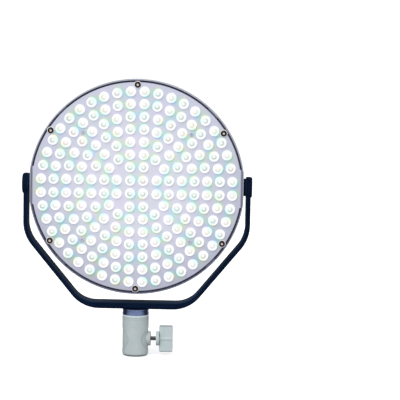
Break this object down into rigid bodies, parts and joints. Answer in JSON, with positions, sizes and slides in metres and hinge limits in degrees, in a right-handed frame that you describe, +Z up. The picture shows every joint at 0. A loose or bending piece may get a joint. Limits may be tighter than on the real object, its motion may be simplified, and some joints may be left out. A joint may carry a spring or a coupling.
{
  "type": "round_led_panel_light",
  "caption": "Round LED panel light with domed lenses on a pale satin face, held in a navy U-shaped tilting yoke on a grey stand socket with a wing clamp screw.",
  "frame": {"origin": "centre of the stand socket's mouth, at its lower face", "axes": "+Z up along the stand socket, the lit face looks along -Y, +X to the right seen from the front"},
  "size_m": [0.3006, 0.0758, 0.3655],
  "materials": {
    "yoke_paint": "satin",
    "collar_metal": "satin",
    "socket_plastic": "satin",
    "black_steel": "satin",
    "bright_steel": "polished",
    "brass": "satin",
    "washer_nylon": "matte",
    "housing_paint": "satin",
    "face_paint": "satin",
    "seal_rubber": "matte",
    "board_white": "satin",
    "led_phosphor": "satin",
    "lens_glow": "gloss",
    "bare_aluminium": "satin",
    "connector_black": "satin",
    "board_green": "satin",
    "choke_core": "matte",
    "cover_plastic": "matte",
    "window_glass": "gloss",
    "knob_rubber": "matte",
    "button_plastic": "satin",
    "rocker_red": "gloss",
    "inlet_nickel": "satin",
    "contact_gold": "polished"
  },
  "bodies": {
    "stand_yoke": {"yoke_bar": "yoke_paint", "stand_socket": "socket_plastic", "socket_collar": "collar_metal", "socket_bolt": "black_steel", "clamp_insert": "brass", "pivot_cap_left": "yoke_paint", "pivot_cap_right": "yoke_paint", "friction_washer_left": "washer_nylon", "friction_washer_right": "washer_nylon"},
    "lamp": {"pivot_bolt_left": "black_steel", "pivot_bolt_right": "black_steel", "pivot_insert_left": "bright_steel", "pivot_insert_right": "bright_steel", "rear_housing": "housing_paint", "face_plate": "face_paint", "rim_seal": "seal_rubber", "rim_screws": "black_steel", "rim_washers": "bright_steel", "inner_screws": "face_paint", "led_board_1": "board_white", "led_board_2": "board_white", "led_board_3": "board_white", "led_board_4": "board_white", "led_chips": "led_phosphor", "led_lenses": "lens_glow", "heat_spreader": "bare_aluminium", "board_links": "connector_black", "driver_board": "board_green", "driver_screws": "bright_steel", "driver_chokes": "choke_core", "driver_capacitors": "bare_aluminium", "driver_transformer": "connector_black", "control_link": "connector_black", "control_cover": "cover_plastic", "cover_screws": "black_steel", "control_board": "board_green", "control_screws": "bright_steel", "display_module": "connector_black", "display_window": "window_glass", "encoder_bodies": "bare_aluminium", "button_switches": "connector_black", "rocker_frame": "connector_black", "inlet_shell": "inlet_nickel", "inlet_core": "connector_black", "inlet_pins": "contact_gold", "inlet_screws": "black_steel"},
    "clamp_tip": {"clamp_pad": "brass"},
    "clamp_grip": {"clamp_screw": "bright_steel", "clamp_knob": "socket_plastic"},
    "dimmer": {"dimmer_shaft": "bright_steel", "dimmer_knob": "knob_rubber"},
    "colour_dial": {"colour_shaft": "bright_steel", "colour_knob": "knob_rubber"},
    "menu_key": {"menu_button": "button_plastic"},
    "mode_key": {"mode_button": "button_plastic"},
    "power_switch": {"power_rocker": "rocker_red"}
  },
  "joints": [
    {"name": "tilt", "type": "hinge", "parent": "stand_yoke", "child": "lamp", "pos_m": [0, 0, 0.225], "axis": [1, 0, 0], "continuous": true},
    {"name": "clamp_slide", "type": "slide", "parent": "stand_yoke", "child": "clamp_tip", "axis": [1, 0, 0], "range_m": [-0.004, 0.003]},
    {"name": "clamp_spin", "type": "hinge", "parent": "clamp_tip", "child": "clamp_grip", "pos_m": [0.0274, 0, 0.0226], "axis": [1, 0, 0], "range_deg": [-1440, 1080]},
    {"name": "dimmer_turn", "type": "hinge", "parent": "lamp", "child": "dimmer", "pos_m": [-0.047, 0.039, 0.241], "axis": [0, 1, 0], "continuous": true},
    {"name": "colour_turn", "type": "hinge", "parent": "lamp", "child": "colour_dial", "pos_m": [0.047, 0.039, 0.241], "axis": [0, 1, 0], "continuous": true},
    {"name": "menu_press", "type": "slide", "parent": "lamp", "child": "menu_key", "axis": [0, -1, 0], "range_m": [0, 0.001], "stiffness_N_per_m": 800, "springref_m": -0.0005},
    {"name": "mode_press", "type": "slide", "parent": "lamp", "child": "mode_key", "axis": [0, -1, 0], "range_m": [0, 0.001], "stiffness_N_per_m": 800, "springref_m": -0.0005},
    {"name": "power_rock", "type": "hinge", "parent": "lamp", "child": "power_switch", "pos_m": [-0.047, 0.0346, 0.205], "axis": [1, 0, 0], "range_deg": [-18, 0]}
  ],
  "couplings": [
    {"joint": "clamp_spin", "follows": "clamp_slide", "rad_per_m": 6283.2}
  ]
}
